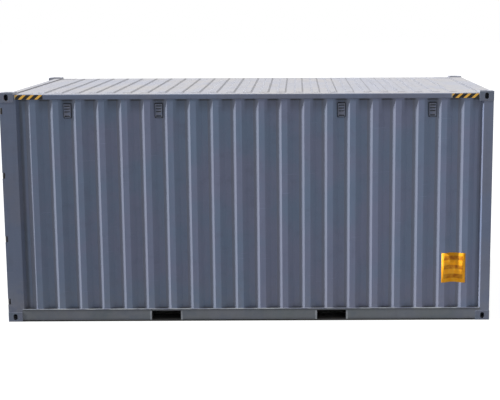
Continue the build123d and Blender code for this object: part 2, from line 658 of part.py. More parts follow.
def leaf_panel():
    """The leaf's sheet, ribbed level, its rib faces flush with the frame."""
    profile = corrugation(PANEL_LOW, PANEL_HIGH, LEAF_RIB_PITCH, LEAF_RIB_FACE, LEAF_RIB_SLOPE,
                          LEAF_RIB_DEPTH)
    line = [(LEAF_FACE + LEAF_RIB_DEPTH - out, along) for along, out in reversed(profile)]
    return crosswise(bent(line, LEAF_SHEET), LEAF_HINGE_Y + STILE_WIDTH, LEAF_CENTRE_Y - STILE_WIDTH)


def leaf_rib_levels():
    """Heights of the middles of the leaf's ribs, from below."""
    rib = LEAF_RIB_FACE + 2 * LEAF_RIB_SLOPE
    return [start + rib / 2 for start in rib_starts(PANEL_LOW, PANEL_HIGH, LEAF_RIB_PITCH, rib)]


def leaf_gasket():
    """The rubber seal round the leaf's edge."""
    depth = (LEAF_FACE + GASKET_INSET, LEAF_FACE + GASKET_INSET + GASKET_DEPTH)
    across = (LEAF_HINGE_Y - GASKET, LEAF_CENTRE_Y + GASKET)
    seal = block(depth, across, (LEAF_BOTTOM - GASKET, LEAF_TOP + GASKET))
    return seal - block(depth, (LEAF_HINGE_Y, LEAF_CENTRE_Y), (LEAF_BOTTOM, LEAF_TOP))


def cam():
    """A forked cam round the axis of a rod, its prongs pointing at the sill or header."""
    half = CAM_WIDTH / 2
    side = [(-CAM_FRONT, half - CAM_CORNER), (-CAM_FRONT + CAM_CORNER, half), (CAM_BACK, half),
            (CAM_BACK, half - CAM_PRONG), (CAM_FORK, half - CAM_PRONG)]
    return upright(side + [(x, -y) for x, y in reversed(side)], -CAM_HEIGHT / 2, CAM_HEIGHT / 2)


def lock_rod(y):
    """A rod at y with a cam at each end."""
    rod = Pos(ROD_X, y, (ROD_LOW + ROD_HIGH) / 2) * Cylinder(ROD_RADIUS, ROD_HIGH - ROD_LOW)
    return rod + Pos(ROD_X, y, CAM_LOW) * cam() + Pos(ROD_X, y, CAM_HIGH) * cam()


def rod_guide():
    """A strap pressed round a rod, with a flange each side, around the rod's axis."""
    outer = ROD_BORE + GUIDE_STRAP
    half = GUIDE_WIDTH / 2
    side = [(ROD_STANDOFF, half), (ROD_STANDOFF - GUIDE_STRAP, half), (ROD_STANDOFF - GUIDE_STRAP, outer),
            (GUIDE_CORNER - outer, outer), (-outer, outer - GUIDE_CORNER)]
    section = make_face(Polyline(*side, *[(x, -y) for x, y in reversed(side)], close=True))
    section -= Circle(ROD_BORE)
    section -= Pos(ROD_STANDOFF / 2, 0) * Rectangle(ROD_STANDOFF, 2 * ROD_BORE)
    return Pos(0, 0, -GUIDE_HEIGHT / 2) * extrude(section, amount=GUIDE_HEIGHT)


def rod_guides():
    """Four guides on each rod, on the leaf's end rails and on two of its ribs."""
    ribs = leaf_rib_levels()
    levels = (LEAF_BOTTOM + LEAF_RAIL_HEIGHT / 2, ribs[1], ribs[-2], LEAF_TOP - LEAF_RAIL_HEIGHT / 2)
    places = [(y, level) for y in (ROD_OUTER_Y, ROD_INNER_Y) for level in levels]
    return Compound([Pos(ROD_X, y, level) * rod_guide() for y, level in places])


def handle_places():
    """Rod, level and heading of each handle: both lie between the rods, on neighbouring ribs."""
    ribs = leaf_rib_levels()
    return ((ROD_OUTER_Y, ribs[3], 1), (ROD_INNER_Y, ribs[2], -1))


def handle(y, level, heading):
    """A bored hub round a rod, with a flat bar reaching sideways to a narrower grip."""
    half_hub = ROD_BORE + HUB_WALL
    hub = Pos(0, 0, -HUB_HEIGHT / 2) * extrude(Rectangle(2 * half_hub, 2 * half_hub), amount=HUB_HEIGHT)
    hub = chamfer(hub.edges().filter_by(Axis.Z), HUB_CORNER) - Cylinder(ROD_BORE, HUB_HEIGHT)
    shoulder = HANDLE_LENGTH - GRIP_LENGTH
    upper = [(half_hub, HANDLE_WIDTH / 2), (shoulder, HANDLE_WIDTH / 2),
             (shoulder + GRIP_SHOULDER, GRIP_WIDTH / 2), (HANDLE_LENGTH - GRIP_CORNER, GRIP_WIDTH / 2),
             (HANDLE_LENGTH, GRIP_WIDTH / 2 - GRIP_CORNER)]
    outline = upper + [(reach, -rise) for reach, rise in reversed(upper)]
    outline = [(heading * reach, rise) for reach, rise in outline]
    bar = lengthwise(outline, -HANDLE_THICKNESS / 2, HANDLE_THICKNESS / 2)
    return Pos(ROD_X, y, level) * (hub + bar)


def handle_catch(y, level, heading):
    """A bracket on the leaf that the bar lies in, just short of its grip."""
    middle = y + heading * (HANDLE_LENGTH - GRIP_LENGTH - CATCH_WIDTH)
    across = (middle - CATCH_WIDTH / 2, middle + CATCH_WIDTH / 2)
    front = ROD_X - HANDLE_THICKNESS / 2 - ROD_FIT
    mouth = HANDLE_WIDTH / 2 + ROD_FIT
    half = mouth + CATCH_RIM
    catch = block((front - CATCH_PLATE, LEAF_FACE), across, (level - half, level + half))
    return catch - block((front, LEAF_FACE - CATCH_PLATE), across, (level - mouth, level + mouth))


def keeper(y, level):
    """A plate on the sill or header with an ear each side of the cam."""
    half = CAM_WIDTH / 2 + KEEPER_SIDE_GAP + KEEPER_EAR
    levels = (level - KEEPER_HEIGHT / 2, level + KEEPER_HEIGHT / 2)
    depth = (SILL_FACE - KEEPER_PLATE - KEEPER_EAR_DEPTH, SILL_FACE)
    ear = block(depth, (y - half, y - half + KEEPER_EAR), levels)
    ear = chamfer(ear.edges().filter_by(Axis.Y).group_by(Axis.X)[0], KEEPER_EAR_CORNER)
    plate = block((SILL_FACE - KEEPER_PLATE, SILL_FACE), (y - half, y + half), levels)
    return plate + ear + Pos(0, 2 * half - KEEPER_EAR, 0) * ear


def cam_keepers():
    right = [keeper(y, level) for y in (ROD_OUTER_Y, ROD_INNER_Y) for level in (CAM_LOW, CAM_HIGH)]
    return Compound(right + [to_left(piece) for piece in right])


def write(name, shape):
    export_step(shape, f"parts/{name}.step")


def write_pair(name, shape):
    """A piece of the right side and its mirror image on the left."""
    write(f"right_{name}", shape)
    write(f"left_{name}", to_left(shape))


def write_box():
    write("corner_castings_bottom", bottom_castings())
    write("corner_castings_top", top_castings())
    write_pair("bottom_side_rail", bottom_side_rail())
    write_pair("top_side_rail", top_side_rail())
    write_pair("side_wall", side_wall())
    write_pair("front_post", front_post())
    write_pair("rear_post", rear_post())
    write_pair("side_vents", side_vents())
    write_pair("hinge_lugs", hinge_lugs())
    write("front_wall", front_wall())
    write("front_bottom_rail", front_bottom_rail())
    write("front_top_rail", front_top_rail())
    write("rear_post_channels", Compound([rear_post_channel(), to_left(rear_post_channel())]))
    write("door_sill", door_sill())
    write("door_header", door_header())
    write("cross_members", cross_members())
    write("fork_pocket_plates", fork_pocket_plates())
    write("floor_boards", floor_boards())
    write("roof_panel", roof_panel())
    write("roof_end_plates", roof_end_plates())
    write("hinge_pins", Compound([hinge_pins(), to_left(hinge_pins())]))
    write("cam_keepers", cam_keepers())


def write_leaves():
    write_pair("door_frame", leaf_frame())
    write_pair("door_panel", leaf_panel())
    write_pair("door_gasket", leaf_gasket())
    write_pair("hinge_blades", hinge_blades())
    write_pair("lock_rods", Compound([lock_rod(y) for y in (ROD_OUTER_Y, ROD_INNER_Y)]))
    write_pair("rod_guides", rod_guides())
    write_pair("rod_handles", Compound([handle(*place) for place in handle_places()]))
    write_pair("handle_catches", Compound([handle_catch(*place) for place in handle_places()]))


def main():
    os.makedirs("parts", exist_ok=True)
    write_box()
    write_leaves()


main()
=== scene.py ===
import json
import math
import random

import bmesh
import bpy
from mathutils import Euler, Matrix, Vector


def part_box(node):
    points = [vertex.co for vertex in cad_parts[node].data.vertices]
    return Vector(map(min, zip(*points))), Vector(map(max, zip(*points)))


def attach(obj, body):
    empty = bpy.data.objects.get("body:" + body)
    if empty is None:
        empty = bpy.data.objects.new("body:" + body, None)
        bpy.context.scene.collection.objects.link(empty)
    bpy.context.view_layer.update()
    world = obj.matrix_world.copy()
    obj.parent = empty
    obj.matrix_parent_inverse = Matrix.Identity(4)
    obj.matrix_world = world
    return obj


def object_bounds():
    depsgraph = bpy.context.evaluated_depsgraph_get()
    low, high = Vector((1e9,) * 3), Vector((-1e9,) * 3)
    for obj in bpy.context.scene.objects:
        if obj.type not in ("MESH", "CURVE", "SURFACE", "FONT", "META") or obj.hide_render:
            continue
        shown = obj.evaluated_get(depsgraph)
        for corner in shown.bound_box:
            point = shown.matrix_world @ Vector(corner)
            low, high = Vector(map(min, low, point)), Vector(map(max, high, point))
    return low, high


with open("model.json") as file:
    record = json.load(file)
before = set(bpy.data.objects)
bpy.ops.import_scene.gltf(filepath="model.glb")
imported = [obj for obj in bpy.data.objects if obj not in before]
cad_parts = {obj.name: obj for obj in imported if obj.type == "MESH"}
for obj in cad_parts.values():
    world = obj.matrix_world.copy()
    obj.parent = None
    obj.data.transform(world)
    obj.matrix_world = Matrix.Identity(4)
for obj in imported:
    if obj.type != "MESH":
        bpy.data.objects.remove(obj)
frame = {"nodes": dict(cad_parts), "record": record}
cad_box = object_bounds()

# A 20 foot high-cube freight container, in metres
# Doors at -X, closed front wall at +X, photographed side at -Y

# Camera, as fitted to the photograph's corners and both edges of the roof
CAMERA_PLACE = (0.6295, -12.3483, 3.9554)
CAMERA_TURN = (82.667, 0.213, -0.142)
CAMERA_LENS = 65.9
CAMERA_SHIFT = (-0.1, -0.156)

# Light: an even surround, a key that rakes along the photographed side, and a fill from behind
SURROUND = 0.42
KEY_POWER = 7.6
KEY_OFF_WALL = 5.0
KEY_HEIGHT = 33.0
KEY_SPREAD = 3.0
FILL_POWER = 2.0
FILL_TURN = 140.0
FILL_HEIGHT = 30.0
FILL_SPREAD = 40.0

# Floor: its matt shade, and the glow that makes it look white to the camera
FLOOR_REACH = 80.0
FLOOR_DROP = 0.0005
FLOOR_SHADE = 0.35
FLOOR_GLOW = 1.45
FLOOR_WHITE = 0.62

# Corrugation of the side walls and of the front wall
RIB_PITCH = 0.2802
RIB_FACE = 0.072
RIB_SLOPE = 0.068
RIB_DEPTH = 0.036
RIB_COUNT = 20
FRONT_PITCH = 0.251
FRONT_FACE = 0.110
FRONT_SLOPE = 0.018
FRONT_DEPTH = 0.0456
FRONT_COUNT = 8

# Hazard tape on the top side rails: start, end and the first black stripe of each
TAPES = (("doors", -2.839, -2.493, -2.825), ("front", 2.506, 2.848, 2.521))
TAPE_PITCH = 0.0995
TAPE_LEAN = 1.1
TAPE_BLACK_SHARE = 0.60
TAPE_MIDDLE = 2.84
TAPE_THICKNESS = 0.0006
TAPE_MARGIN = 0.003
TAPE_CORNER = 0.003

# Vinyl sheet on the right wall, with the level and half height of its bars as shares of its height
SHEET_START = 2.416
SHEET_END = 2.715
SHEET_LOW = 0.482
SHEET_HIGH = 0.861
SHEET_PROUD = 0.0008
SHEET_THICKNESS = 0.0005
SHEET_BORDER = 0.03
SHEET_BARS = ((0.205, 0.075), (0.51, 0.07), (0.82, 0.075))

# Shading and rounding of edges
SMOOTH_ANGLE = 38
ROUND_ANGLE = 40
WELD_REACH = 0.00001

# Seams and lips
BEAD = 0.004
THIN_BEAD = 0.0024
ROOF_BEAD = 0.003
BEAD_STEP = 0.03
BEAD_SEED = 7
BEAD_STOP = 0.04
BEAD_OUTLINE = ((-0.3, -0.3), (1.0, -0.3), (1.0, 0.15), (0.72, 0.72), (0.15, 1.0), (-0.3, 1.0))
LIP_PROUD = 0.0034
LIP_HEIGHT = 0.011
LIP_SUNK = 0.001
LIP_REAR_GAP = 0.002
LIP_FRONT_GAP = 0.004
CASTING_STEP = 0.003
CASTING_LENGTH = 0.178
CASTING_WIDTH = 0.162
CASTING_HEIGHT = 0.118

# Fasteners and sealant: their places, the pitches they follow, and each head's radius and height
LEAF_RIB_PITCH = 0.273
GUIDE_STRAP = 0.0035
GUIDE_HALF = 0.055
GUIDE_RISE = 0.030
GUIDE_BOLT_ACROSS = 0.041
GUIDE_BOLT_RISE = 0.016
GUIDE_BOLT = (0.0065, 0.005)
BLADE_COUNT = 4
BLADE_PLATE = 0.010
BLADE_RISE = 0.0375
BLADE_BOLTS_Y = (1.132, 1.092)
BLADE_BOLT_RISE = 0.020
BLADE_BOLT = (0.008, 0.006)
VENT_HALF = 0.047
VENT_RIBS = 4
VENT_RIVET_ACROSS = 0.034
VENT_RIVET_LOW = 0.026
VENT_RIVET_HIGH = 0.014
VENT_RIVET = (0.0035, 0.0018)
VENT_RIVET_SIDES = 10
FLOOR_SCREW = (0.006, 0.0006)
FLOOR_SCREW_SIDES = 8
SEAL = 0.0065
SEAL_RISE = 0.004
SCREW_STEP = 0.116
MEMBER_FLANGE = 0.045
MEMBER_PITCH = 0.285

# Fork pockets, whose edges are scuffed
POCKET_CENTRE = 1.04
POCKET_HALF = 0.183
SCUFF_REACH = 0.028

# Begin and end of dirt, wear, painted light and painted shade: heights, places along X, depths, distances
# from the middle
DIRTY_ALONG = (-3.4, 0.0)
CLEAN_ALONG = (0.0, 3.2)
SPLASHED = (0.1, 0.75)
RECESS_FACES = (1.176, 1.205)
SIDE_WALLS = 1.15
SHADE_UNDER_RAIL = (2.60, 2.78)
SHADE_AT_RAIL = (2.775, 2.792)
SHADE_BY_REAR_POST = (-2.775, -2.745)
SHADE_BY_FRONT_POST = (2.835, 2.860)
SHADOW_UNDER_LIP = (0.138, 0.150)
SOOT_FOOT = (0.022, 0.055)
SCUFF_TOP = (0.12, 0.14)
HOLE_DEPTH = (0.004, 0.018)
FACE_MARGIN = 0.0005
PAINTED_LIGHT_SHOULDER = (2.862, 2.868)
PAINTED_LIGHT_TOP = (2.8950, 2.8957)
VENT_GROOVE = (1.1935, 1.1985)

# Colours, linear
WALL_BLUE = (0.117, 0.161, 0.245)
WALL_VIOLET = (0.139, 0.158, 0.243)
# A painted highlight for the wall faces that face the doors
WALL_PAINTED_HIGHLIGHT = (0.150, 0.162, 0.208)
WALL_PALE = (0.24, 0.27, 0.33)
FRAME_BLUE = (0.104, 0.130, 0.200)
FRAME_GREY = (0.122, 0.134, 0.186)
RAIL_GREY = (0.112, 0.126, 0.158)
RAIL_GREEN = (0.100, 0.119, 0.136)
# Pale for rubbed paint, and on the lip also a painted highlight
PALE_WEAR_AND_HIGHLIGHT = (0.30, 0.32, 0.35)
# The roof's paint, painted pale as if lit by the sun
ROOF_PAINTED_SUNLIT = (0.258, 0.266, 0.306)
ROOF_WARM = (0.285, 0.280, 0.290)
CAST_BLUE = (0.108, 0.130, 0.176)
DUST = (0.30, 0.275, 0.24)
# Dark for soot and grime, and for painted shade in recesses, holes and grooves
SOOT_AND_SHADE = (0.030, 0.032, 0.037)
RUST = (0.16, 0.065, 0.028)
ZINC = (0.27, 0.28, 0.29)
ZINC_DARK = (0.17, 0.175, 0.18)
# Dark forged steel, also standing in for shade in the hinge notches
FORGED_AND_SHADE = (0.030, 0.030, 0.032)
TAPE_YELLOW = (0.72, 0.40, 0.060)
TAPE_BLACK = (0.008, 0.007, 0.007)
TAPE_WORN = (0.34, 0.30, 0.22)
SHEET_YELLOW = (0.84, 0.34, 0.004)
SHEET_LIGHT = (0.84, 0.42, 0.03)
SHEET_BROWN = (0.20, 0.030, 0.004)
RUBBER = (0.018, 0.018, 0.019)
RUBBER_DUSTY = (0.10, 0.095, 0.085)
PLY_DARK = (0.17, 0.085, 0.042)
PLY_LIGHT = (0.30, 0.165, 0.085)
PLY_PORES = (0.09, 0.045, 0.024)
OIL = (0.06, 0.045, 0.035)
WHEEL_MARKS = (0.36, 0.26, 0.18)
UNDERSEAL = (0.012, 0.012, 0.013)
UNDERSEAL_DUSTY = (0.045, 0.041, 0.036)


class Wiring:
    """Nodes of a material or of the world; add and maths each add one node and return its output."""

    def __init__(self, tree):
        self.tree = tree

    def add(self, kind, inputs=(), output=0, **settings):
        node = self.tree.nodes.new(kind)
        for key, value in settings.items():
            setattr(node, key, value)
        for key, value in dict(inputs).items():
            self.feed(node.inputs[key], value)
        return node.outputs[output]

    def feed(self, socket, value):
        if isinstance(value, bpy.types.NodeSocket):
            self.tree.links.new(value, socket)
        elif socket.type == "RGBA":
            socket.default_value = (*value, 1.0)
        else:
            socket.default_value = value

    def maths(self, operation, one, other=0.0):
        return self.add("ShaderNodeMath", {0: one, 1: other}, operation=operation)


class Finish(Wiring):
    """A surface's material being made."""

    def __init__(self, name, roughness, metallic=0.0, specular=0.3):
        self.material = bpy.data.materials.new(name)
        self.material.use_nodes = True
        super().__init__(self.material.node_tree)
        self.surface = self.tree.nodes["Principled BSDF"]
        self.surface.inputs["Roughness"].default_value = roughness
        self.surface.inputs["Metallic"].default_value = metallic
        self.surface.inputs["Specular IOR Level"].default_value = specular
        self.place = self.add("ShaderNodeTexCoord", output="Object")

    def stretched(self, scale):
        """The object's own coordinates, with X, Y and Z each scaled on its own."""
        return self.add("ShaderNodeMapping", {"Vector": self.place, "Scale": scale})

    def noise(self, scale, detail=4.0, rough=0.55, stretch=None):
        place = self.stretched(stretch) if stretch else self.place
        inputs = {"Vector": place, "Scale": scale, "Detail": detail, "Roughness": rough}
        return self.add("ShaderNodeTexNoise", inputs, "Fac")

    def between(self, value, low, high, start=0.0, end=1.0):
        """Start up to low, end from high on, and a smooth change between them."""
        inputs = {"Value": value, "From Min": low, "From Max": high, "To Min": start, "To Max": end}
        return self.add("ShaderNodeMapRange", inputs, interpolation_type="SMOOTHSTEP")

    def product(self, one, other):
        return self.maths("MULTIPLY", one, other)

    def highest(self, one, other):
        return self.maths("MAXIMUM", one, other)

    def coordinate(self, axis):
        return self.add("ShaderNodeSeparateXYZ", {"Vector": self.place}, axis)

    def away(self, axis):
        """Distance from the container's middle along one axis."""
        return self.maths("ABSOLUTE", self.coordinate(axis))

    def facing(self, axis):
        """How far the surface faces along one of the object's own axes."""
        normal = self.add("ShaderNodeTexCoord", output="Normal")
        return self.add("ShaderNodeSeparateXYZ", {"Vector": normal}, axis)

    def near(self, value, centre, reach):
        """One at centre, falling to nought at reach from it."""
        distance = self.maths("ABSOLUTE", self.maths("SUBTRACT", value, centre))
        return self.between(distance, 0.6 * reach, reach, 1.0, 0.0)

    def blend(self, share, one, other):
        inputs = {"Factor": share, "A": one, "B": other}
        node = self.tree.nodes.new("ShaderNodeMix")
        node.data_type = "RGBA"
        for socket in node.inputs:
            if socket.name in inputs and socket.type in ("RGBA", "VALUE") and socket.enabled:
                self.feed(socket, inputs[socket.name])
        return next(socket for socket in node.outputs if socket.type == "RGBA")

    def edges(self, reach):
        """One on sharp outer and inner edges, falling to nought at reach from them."""
        soft = self.add("ShaderNodeBevel", {"Radius": reach}, samples=4)
        true = self.add("ShaderNodeNewGeometry", output="Normal")
        agreement = self.add("ShaderNodeVectorMath", {0: soft, 1: true}, "Value", operation="DOT_PRODUCT")
        return self.between(agreement, 0.80, 0.97, 1.0, 0.0)

    def colour(self, value):
        self.feed(self.surface.inputs["Base Color"], value)

    def roughness(self, value, low, high):
        self.feed(self.surface.inputs["Roughness"], self.between(value, 0.3, 0.7, low, high))

    def bumps(self, *layers):
        """Stacks (height, strength, distance) layers of relief."""
        normal = None
        for height, strength, distance in layers:
            inputs = {"Height": height, "Strength": strength, "Distance": distance}
            if normal is not None:
                inputs["Normal"] = normal
            normal = self.add("ShaderNodeBump", inputs)
        self.feed(self.surface.inputs["Normal"], normal)


def scaled(colour, share):
    return tuple(share * part for part in colour)


def paint_tone(f, main, second, dirt, streaks):
    """Patchy paint with rain streaks, grime, speckle and scratches; returns the tone and the grime."""
    patches = f.noise(1.1, 5.0, 0.6)
    tone = f.blend(f.between(patches, 0.38, 0.62), main, second)
    rain = f.noise(1.0, 5.0, 0.6, stretch=(16.0, 16.0, 0.45))
    tone = f.blend(f.between(rain, 0.52, 0.78, 0.0, streaks), tone, scaled(main, 0.62))
    tone = f.blend(f.between(rain, 0.26, 0.44, 0.5 * streaks, 0.0), tone, scaled(second, 1.45))
    grime = f.noise(7.0, 6.0, 0.65)
    tone = f.blend(f.between(grime, 0.50, 0.80, 0.0, dirt), tone, scaled(second, 0.7))
    speckle = f.noise(90.0, 2.0, 0.5)
    tone = f.blend(f.between(speckle, 0.55, 0.75, 0.0, 0.18), tone, scaled(second, 1.45))
    scratches = f.noise(3.0, 3.0, 0.5, stretch=(1.2, 1.2, 26.0))
    tone = f.blend(f.between(scratches, 0.69, 0.72, 0.0, 0.35), tone, scaled(second, 1.45))
    return tone, grime


def grimier_doors(f, tone, main):
    """Paint a little dirtier towards the doors and paler towards the front."""
    along = f.coordinate("X")
    tone = f.blend(f.between(along, *DIRTY_ALONG, 0.26, 0.0), tone, scaled(main, 0.62))
    return f.blend(f.between(along, *CLEAN_ALONG, 0.0, 0.16), tone, scaled(main, 1.55))


def dusty_foot(f, tone, grime, share):
    """Splashed dust on the lowest part of the container."""
    height = f.between(f.coordinate("Z"), *SPLASHED, share, 0.0)
    return f.blend(f.product(height, f.between(grime, 0.3, 0.6)), tone, DUST)


def worn_edges(f, tone, wear):
    """Paint chipped pale at the edges, with rust in some of the chips."""
    chips = f.noise(38.0, 5.0, 0.7)
    edge = f.product(f.edges(0.006), f.between(chips, 0.46, 0.58))
    tone = f.blend(f.product(edge, wear), tone, WALL_PALE)
    rust = f.product(edge, f.between(f.noise(11.0, 4.0, 0.6), 0.54, 0.64))
    return f.blend(f.product(rust, 0.8 * wear), tone, RUST)


def paint_relief(f, grime, gloss, dents):
    f.roughness(grime, *gloss)
    f.bumps((f.noise(2.6, 2.0, 0.4), dents, 0.02), (f.noise(420.0, 2.0, 0.5), 0.06, 0.001))


def wall_paint():
    """Ribbed sheets: a painted highlight where they face the doors, and painted shade under the rail and
    beside the posts, strongest in the recesses.
    """
    f = Finish("wall_paint", 0.5)
    tone, grime = paint_tone(f, WALL_BLUE, WALL_VIOLET, 0.35, 0.22)
    tone = dusty_foot(f, grimier_doors(f, tone, WALL_VIOLET), grime, 0.12)
    # Painted highlight: faces turned towards the doors are paler
    painted_light = f.between(f.facing("X"), -0.40, -0.15, 0.6, 0.0)
    tone = f.blend(painted_light, tone, WALL_PAINTED_HIGHLIGHT)
    across = f.away("Y")
    recess = f.between(across, *RECESS_FACES, 1.0, 0.0)
    recess = f.product(recess, f.maths("GREATER_THAN", across, SIDE_WALLS))
    height = f.coordinate("Z")
    # Painted shade under the top rail and beside the posts, strongest in the recesses
    shade = f.between(height, *SHADE_AT_RAIL, 0.0, 0.85)
    shade = f.highest(shade, f.between(height, *SHADE_UNDER_RAIL, 0.0, 0.4))
    along = f.coordinate("X")
    shade = f.highest(shade, f.between(along, *SHADE_BY_REAR_POST, 0.6, 0.0))
    shade = f.highest(shade, f.between(along, *SHADE_BY_FRONT_POST, 0.0, 0.3))
    f.colour(f.blend(f.product(shade, f.between(recess, 0.0, 1.0, 0.12, 1.0)), tone, SOOT_AND_SHADE))
    paint_relief(f, grime, (0.42, 0.6), 0.2)
    return f.material


def frame_paint(name="frame_paint", wear=0.6, main=FRAME_BLUE, second=FRAME_GREY):
    f = Finish(name, 0.5)
    tone, grime = paint_tone(f, main, second, 0.35, 0.3)
    tone = dusty_foot(f, grimier_doors(f, tone, main), grime, 0.18)
    f.colour(worn_edges(f, tone, wear))
    paint_relief(f, grime, (0.42, 0.6), 0.25)
    return f.material


def rail_paint():
    """Bottom rails: greenish patches, painted shadow under the lip, grime low down, scuffs at the fork
    pockets.
    """
    f = Finish("rail_paint", 0.5)
    tone, grime = paint_tone(f, RAIL_GREY, RAIL_GREEN, 0.4, 0.25)
    tone = dusty_foot(f, grimier_doors(f, tone, RAIL_GREY), grime, 0.12)
    height = f.coordinate("Z")
    # Painted shadow under the lip
    tone = f.blend(f.between(height, *SHADOW_UNDER_LIP, 0.0, 0.7), tone, SOOT_AND_SHADE)
    low = f.product(f.between(height, *SOOT_FOOT, 0.4, 0.0), f.between(grime, 0.3, 0.6, 0.5, 1.0))
    tone = f.blend(low, tone, SOOT_AND_SHADE)
    along = f.away("X")
    outer = f.near(along, POCKET_CENTRE + POCKET_HALF, SCUFF_REACH)
    inner = f.near(along, POCKET_CENTRE - POCKET_HALF, SCUFF_REACH)
    scuffs = f.product(f.highest(outer, inner), f.between(grime, 0.35, 0.55, 0.25, 0.8))
    tone = f.blend(f.product(scuffs, f.between(height, *SCUFF_TOP, 1.0, 0.0)), tone, PALE_WEAR_AND_HIGHLIGHT)
    f.colour(worn_edges(f, tone, 0.6))
    paint_relief(f, grime, (0.45, 0.65), 0.3)
    return f.material


def lip_paint():
    """Paint rubbed thin and pale on an exposed lip; its paleness is also a painted highlight."""
    f = Finish("lip_paint", 0.5)
    # Paleness partly rubbed paint, partly a painted highlight
    rub_and_highlight = f.noise(9.0, 6.0, 0.68, stretch=(0.5, 4.0, 4.0))
    tone = f.blend(f.between(rub_and_highlight, 0.40, 0.62), PALE_WEAR_AND_HIGHLIGHT, FRAME_GREY)
    rust = f.between(f.noise(30.0, 5.0, 0.7), 0.64, 0.72, 0.0, 0.5)
    f.colour(f.blend(rust, tone, RUST))
    f.roughness(rub_and_highlight, 0.45, 0.65)
    f.bumps((f.noise(160.0, 3.0, 0.5), 0.2, 0.001))
    return f.material


def depth_in_casting(f):
    """How deep a point lies inside the outer faces of its casting."""
    across, along, height = f.away("Y"), f.away("X"), f.coordinate("Z")
    half = CASTING_HEIGHT / 2
    lower = f.maths("ABSOLUTE", f.maths("SUBTRACT", height, half))
    upper = f.maths("ABSOLUTE", f.maths("SUBTRACT", height, cad_box[1][2] - half))
    depth = f.maths("SUBTRACT", half, f.maths("MINIMUM", lower, upper))
    sides = ((across, cad_box[1][1], CASTING_WIDTH), (along, cad_box[1][0], CASTING_LENGTH))
    for place, reach, size in sides:
        outer = f.maths("SUBTRACT", reach, place)
        inner = f.maths("SUBTRACT", place, reach - size)
        depth = f.maths("MINIMUM", depth, f.maths("MINIMUM", outer, inner))
    return depth


def cast_steel():
    """Painted castings: rough and chipped, with painted light on top and on their inner sides towards the
    roof, and painted shade inside their holes.
    """
    f = Finish("cast_steel", 0.6)
    pitting = f.noise(120.0, 4.0, 0.6)
    tone = f.blend(f.between(f.noise(5.0, 5.0, 0.6), 0.4, 0.6), CAST_BLUE, FRAME_GREY)
    # Painted light: tops, and inner sides above the roof, as pale as the lit roof
    inner_side = cad_box[1][1] - CASTING_WIDTH + FACE_MARGIN
    inner_end = cad_box[1][0] - CASTING_LENGTH + FACE_MARGIN
    inward = f.maths("LESS_THAN", f.away("Y"), inner_side)
    inward = f.highest(inward, f.maths("LESS_THAN", f.away("X"), inner_end))
    height = f.coordinate("Z")
    painted_light = f.product(inward, f.between(height, *PAINTED_LIGHT_SHOULDER))
    painted_light = f.highest(painted_light, f.between(height, *PAINTED_LIGHT_TOP))
    tone = f.blend(f.product(painted_light, 0.92), tone, ROOF_PAINTED_SUNLIT)
    chips = f.noise(26.0, 6.0, 0.7)
    edge = f.product(f.edges(0.010), f.between(chips, 0.42, 0.56))
    tone = f.blend(f.product(edge, 0.7), tone, WALL_PALE)
    rust = f.highest(edge, f.between(chips, 0.62, 0.68))
    rust = f.product(rust, f.between(f.noise(9.0, 4.0), 0.5, 0.6))
    tone = f.blend(f.product(rust, 0.85), tone, RUST)
    # Painted shade inside the holes
    hole = f.between(depth_in_casting(f), *HOLE_DEPTH, 0.0, 0.93)
    f.colour(f.blend(hole, tone, scaled(SOOT_AND_SHADE, 0.4)))
    f.roughness(chips, 0.5, 0.75)
    f.bumps((pitting, 0.25, 0.002), (chips, 0.2, 0.003))
    return f.material


def roof_paint():
    """Paint painted pale as if sunlit, with dust in patches and faint runs, and painted shade where it faces
    the doors.
    """
    f = Finish("roof_paint", 0.6, specular=0.15)
    # Painted light: the roof's whole tone is pale as if sunlit
    patches = f.noise(1.1, 6.0, 0.65)
    tone = f.blend(f.between(patches, 0.35, 0.65), ROOF_PAINTED_SUNLIT, ROOF_WARM)
    runs = f.noise(1.0, 6.0, 0.65, stretch=(9.0, 1.4, 1.0))
    tone = f.blend(f.between(runs, 0.50, 0.75, 0.0, 0.30), tone, scaled(ROOF_PAINTED_SUNLIT, 0.70))
    dust = f.noise(18.0, 6.0, 0.7)
    tone = f.blend(f.between(dust, 0.52, 0.75, 0.0, 0.35), tone, DUST)
    specks = f.between(f.noise(70.0, 3.0, 0.6), 0.70, 0.76, 0.0, 0.5)
    # Painted shade on faces turned towards the doors
    tone = f.blend(f.between(f.facing("X"), -0.35, -0.1, 0.75, 0.0), tone, scaled(ROOF_PAINTED_SUNLIT, 0.68))
    f.colour(f.blend(specks, tone, RUST))
    f.roughness(dust, 0.5, 0.75)
    f.bumps((f.noise(3.0, 2.0, 0.4), 0.3, 0.02), (dust, 0.15, 0.002))
    return f.material


def zinc_steel():
    """Dull galvanised steel: spangle, grey bloom, rubbed edges and a little rust."""
    f = Finish("zinc_steel", 0.5, metallic=0.35, specular=0.5)
    spangle = f.add("ShaderNodeTexVoronoi", {"Vector": f.place, "Scale": 140.0}, "Color")
    grain = f.add("ShaderNodeSeparateColor", {"Color": spangle}, "Red")
    tone = f.blend(f.between(grain, 0.1, 0.9), ZINC_DARK, ZINC)
    bloom = f.noise(9.0, 6.0, 0.65)
    tone = f.blend(f.between(bloom, 0.45, 0.75, 0.0, 0.6), tone, FRAME_GREY)
    tone = f.blend(f.product(f.edges(0.003), 0.4), tone, scaled(ZINC, 1.3))
    rust = f.between(f.noise(24.0, 6.0, 0.7), 0.60, 0.70, 0.0, 0.65)
    f.colour(f.blend(rust, tone, RUST))
    f.roughness(bloom, 0.42, 0.68)
    f.bumps((f.noise(160.0, 3.0, 0.5), 0.12, 0.001))
    return f.material


